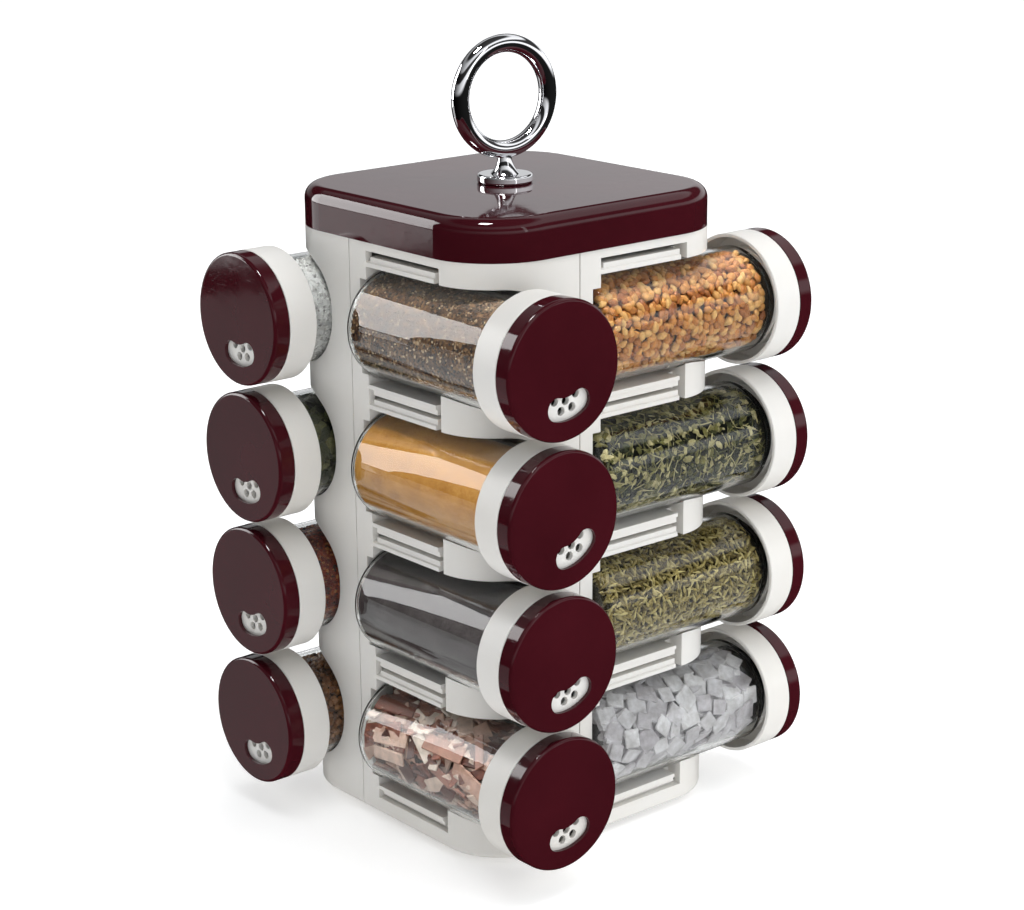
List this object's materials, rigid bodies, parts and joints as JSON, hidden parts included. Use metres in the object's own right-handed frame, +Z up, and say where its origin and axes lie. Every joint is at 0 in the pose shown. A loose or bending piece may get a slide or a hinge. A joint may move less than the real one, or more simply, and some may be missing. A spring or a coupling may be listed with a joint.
{
  "type": "spice carousel",
  "caption": "Square revolving tower with jars lying in cradles on every side, turning sifter caps, a domed-edge cover and a ring handle.",
  "frame": {"origin": "on the spin axis at table level, under the middle of the tower", "axes": "+Z up along the spin axis; -Y is the front face, whose jars lie along +X with their caps past the +X side"},
  "size_m": [0.1874, 0.1874, 0.3132],
  "materials": {
    "white_plastic": "satin moulded",
    "maroon_plastic": "high gloss",
    "clear_jar": "clear polished",
    "chrome_plate": "mirror polished",
    "steel": "bright zinc plated",
    "rubber_pad": "matt"
  },
  "bodies": {
    "base": {"base_plate": "white_plastic", "rubber_feet": "rubber_pad", "pivot_screw": "steel", "ball_bearing": "steel"},
    "tower": {"floor_plate": "white_plastic", "side_panel_front": "white_plastic", "side_panel_right": "white_plastic", "side_panel_back": "white_plastic", "side_panel_left": "white_plastic", "top_cover": "maroon_plastic", "handle": "chrome_plate", "handle_nut": "steel"},
    "front_jar_1": {"jar_front_1": "clear_jar", "sifter_front_1": "white_plastic"},
    "front_dial_1": {"dial_front_1": "maroon_plastic"},
    "front_jar_2": {"jar_front_2": "clear_jar", "sifter_front_2": "white_plastic"},
    "front_dial_2": {"dial_front_2": "maroon_plastic"},
    "front_jar_3": {"jar_front_3": "clear_jar", "sifter_front_3": "white_plastic"},
    "front_dial_3": {"dial_front_3": "maroon_plastic"},
    "front_jar_4": {"jar_front_4": "clear_jar", "sifter_front_4": "white_plastic"},
    "front_dial_4": {"dial_front_4": "maroon_plastic"},
    "right_jar_1": {"jar_right_1": "clear_jar", "sifter_right_1": "white_plastic"},
    "right_dial_1": {"dial_right_1": "maroon_plastic"},
    "right_jar_2": {"jar_right_2": "clear_jar", "sifter_right_2": "white_plastic"},
    "right_dial_2": {"dial_right_2": "maroon_plastic"},
    "right_jar_3": {"jar_right_3": "clear_jar", "sifter_right_3": "white_plastic"},
    "right_dial_3": {"dial_right_3": "maroon_plastic"},
    "right_jar_4": {"jar_right_4": "clear_jar", "sifter_right_4": "white_plastic"},
    "right_dial_4": {"dial_right_4": "maroon_plastic"},
    "back_jar_1": {"jar_back_1": "clear_jar", "sifter_back_1": "white_plastic"},
    "back_dial_1": {"dial_back_1": "maroon_plastic"},
    "back_jar_2": {"jar_back_2": "clear_jar", "sifter_back_2": "white_plastic"},
    "back_dial_2": {"dial_back_2": "maroon_plastic"},
    "back_jar_3": {"jar_back_3": "clear_jar", "sifter_back_3": "white_plastic"},
    "back_dial_3": {"dial_back_3": "maroon_plastic"},
    "back_jar_4": {"jar_back_4": "clear_jar", "sifter_back_4": "white_plastic"},
    "back_dial_4": {"dial_back_4": "maroon_plastic"},
    "left_jar_1": {"jar_left_1": "clear_jar", "sifter_left_1": "white_plastic"},
    "left_dial_1": {"dial_left_1": "maroon_plastic"},
    "left_jar_2": {"jar_left_2": "clear_jar", "sifter_left_2": "white_plastic"},
    "left_dial_2": {"dial_left_2": "maroon_plastic"},
    "left_jar_3": {"jar_left_3": "clear_jar", "sifter_left_3": "white_plastic"},
    "left_dial_3": {"dial_left_3": "maroon_plastic"},
    "left_jar_4": {"jar_left_4": "clear_jar", "sifter_left_4": "white_plastic"},
    "left_dial_4": {"dial_left_4": "maroon_plastic"}
  },
  "joints": [
    {"name": "tower_spin", "type": "hinge", "parent": "base", "child": "tower", "pos_m": [0, 0, 0.0066], "axis": [0, 0, 1], "continuous": true},
    {"name": "front_jar_1_slide", "type": "slide", "parent": "tower", "child": "front_jar_1", "axis": [1, 0, 0], "range_m": [0, 0.075]},
    {"name": "front_dial_1_turn", "type": "hinge", "parent": "front_jar_1", "child": "front_dial_1", "pos_m": [0.0898, -0.0516, 0.2063], "axis": [1, 0, 0], "range_deg": [0, 180]},
    {"name": "front_jar_2_slide", "type": "slide", "parent": "tower", "child": "front_jar_2", "axis": [1, 0, 0], "range_m": [0, 0.075]},
    {"name": "front_dial_2_turn", "type": "hinge", "parent": "front_jar_2", "child": "front_dial_2", "pos_m": [0.0898, -0.0516, 0.1503], "axis": [1, 0, 0], "range_deg": [0, 180]},
    {"name": "front_jar_3_slide", "type": "slide", "parent": "tower", "child": "front_jar_3", "axis": [1, 0, 0], "range_m": [0, 0.075]},
    {"name": "front_dial_3_turn", "type": "hinge", "parent": "front_jar_3", "child": "front_dial_3", "pos_m": [0.0898, -0.0516, 0.0943], "axis": [1, 0, 0], "range_deg": [0, 180]},
    {"name": "front_jar_4_slide", "type": "slide", "parent": "tower", "child": "front_jar_4", "axis": [1, 0, 0], "range_m": [0, 0.075]},
    {"name": "front_dial_4_turn", "type": "hinge", "parent": "front_jar_4", "child": "front_dial_4", "pos_m": [0.0898, -0.0516, 0.0383], "axis": [1, 0, 0], "range_deg": [0, 180]},
    {"name": "right_jar_1_slide", "type": "slide", "parent": "tower", "child": "right_jar_1", "axis": [0, 1, 0], "range_m": [0, 0.075]},
    {"name": "right_dial_1_turn", "type": "hinge", "parent": "right_jar_1", "child": "right_dial_1", "pos_m": [0.0516, 0.0898, 0.2063], "axis": [0, 1, 0], "range_deg": [0, 180]},
    {"name": "right_jar_2_slide", "type": "slide", "parent": "tower", "child": "right_jar_2", "axis": [0, 1, 0], "range_m": [0, 0.075]},
    {"name": "right_dial_2_turn", "type": "hinge", "parent": "right_jar_2", "child": "right_dial_2", "pos_m": [0.0516, 0.0898, 0.1503], "axis": [0, 1, 0], "range_deg": [0, 180]},
    {"name": "right_jar_3_slide", "type": "slide", "parent": "tower", "child": "right_jar_3", "axis": [0, 1, 0], "range_m": [0, 0.075]},
    {"name": "right_dial_3_turn", "type": "hinge", "parent": "right_jar_3", "child": "right_dial_3", "pos_m": [0.0516, 0.0898, 0.0943], "axis": [0, 1, 0], "range_deg": [0, 180]},
    {"name": "right_jar_4_slide", "type": "slide", "parent": "tower", "child": "right_jar_4", "axis": [0, 1, 0], "range_m": [0, 0.075]},
    {"name": "right_dial_4_turn", "type": "hinge", "parent": "right_jar_4", "child": "right_dial_4", "pos_m": [0.0516, 0.0898, 0.0383], "axis": [0, 1, 0], "range_deg": [0, 180]},
    {"name": "back_jar_1_slide", "type": "slide", "parent": "tower", "child": "back_jar_1", "axis": [-1, 0, 0], "range_m": [0, 0.075]},
    {"name": "back_dial_1_turn", "type": "hinge", "parent": "back_jar_1", "child": "back_dial_1", "pos_m": [-0.0898, 0.0516, 0.2063], "axis": [-1, 0, 0], "range_deg": [0, 180]},
    {"name": "back_jar_2_slide", "type": "slide", "parent": "tower", "child": "back_jar_2", "axis": [-1, 0, 0], "range_m": [0, 0.075]},
    {"name": "back_dial_2_turn", "type": "hinge", "parent": "back_jar_2", "child": "back_dial_2", "pos_m": [-0.0898, 0.0516, 0.1503], "axis": [-1, 0, 0], "range_deg": [0, 180]},
    {"name": "back_jar_3_slide", "type": "slide", "parent": "tower", "child": "back_jar_3", "axis": [-1, 0, 0], "range_m": [0, 0.075]},
    {"name": "back_dial_3_turn", "type": "hinge", "parent": "back_jar_3", "child": "back_dial_3", "pos_m": [-0.0898, 0.0516, 0.0943], "axis": [-1, 0, 0], "range_deg": [0, 180]},
    {"name": "back_jar_4_slide", "type": "slide", "parent": "tower", "child": "back_jar_4", "axis": [-1, 0, 0], "range_m": [0, 0.075]},
    {"name": "back_dial_4_turn", "type": "hinge", "parent": "back_jar_4", "child": "back_dial_4", "pos_m": [-0.0898, 0.0516, 0.0383], "axis": [-1, 0, 0], "range_deg": [0, 180]},
    {"name": "left_jar_1_slide", "type": "slide", "parent": "tower", "child": "left_jar_1", "axis": [0, -1, 0], "range_m": [0, 0.075]},
    {"name": "left_dial_1_turn", "type": "hinge", "parent": "left_jar_1", "child": "left_dial_1", "pos_m": [-0.0516, -0.0898, 0.2063], "axis": [0, -1, 0], "range_deg": [0, 180]},
    {"name": "left_jar_2_slide", "type": "slide", "parent": "tower", "child": "left_jar_2", "axis": [0, -1, 0], "range_m": [0, 0.075]},
    {"name": "left_dial_2_turn", "type": "hinge", "parent": "left_jar_2", "child": "left_dial_2", "pos_m": [-0.0516, -0.0898, 0.1503], "axis": [0, -1, 0], "range_deg": [0, 180]},
    {"name": "left_jar_3_slide", "type": "slide", "parent": "tower", "child": "left_jar_3", "axis": [0, -1, 0], "range_m": [0, 0.075]},
    {"name": "left_dial_3_turn", "type": "hinge", "parent": "left_jar_3", "child": "left_dial_3", "pos_m": [-0.0516, -0.0898, 0.0943], "axis": [0, -1, 0], "range_deg": [0, 180]},
    {"name": "left_jar_4_slide", "type": "slide", "parent": "tower", "child": "left_jar_4", "axis": [0, -1, 0], "range_m": [0, 0.075]},
    {"name": "left_dial_4_turn", "type": "hinge", "parent": "left_jar_4", "child": "left_dial_4", "pos_m": [-0.0516, -0.0898, 0.0383], "axis": [0, -1, 0], "range_deg": [0, 180]}
  ]
}
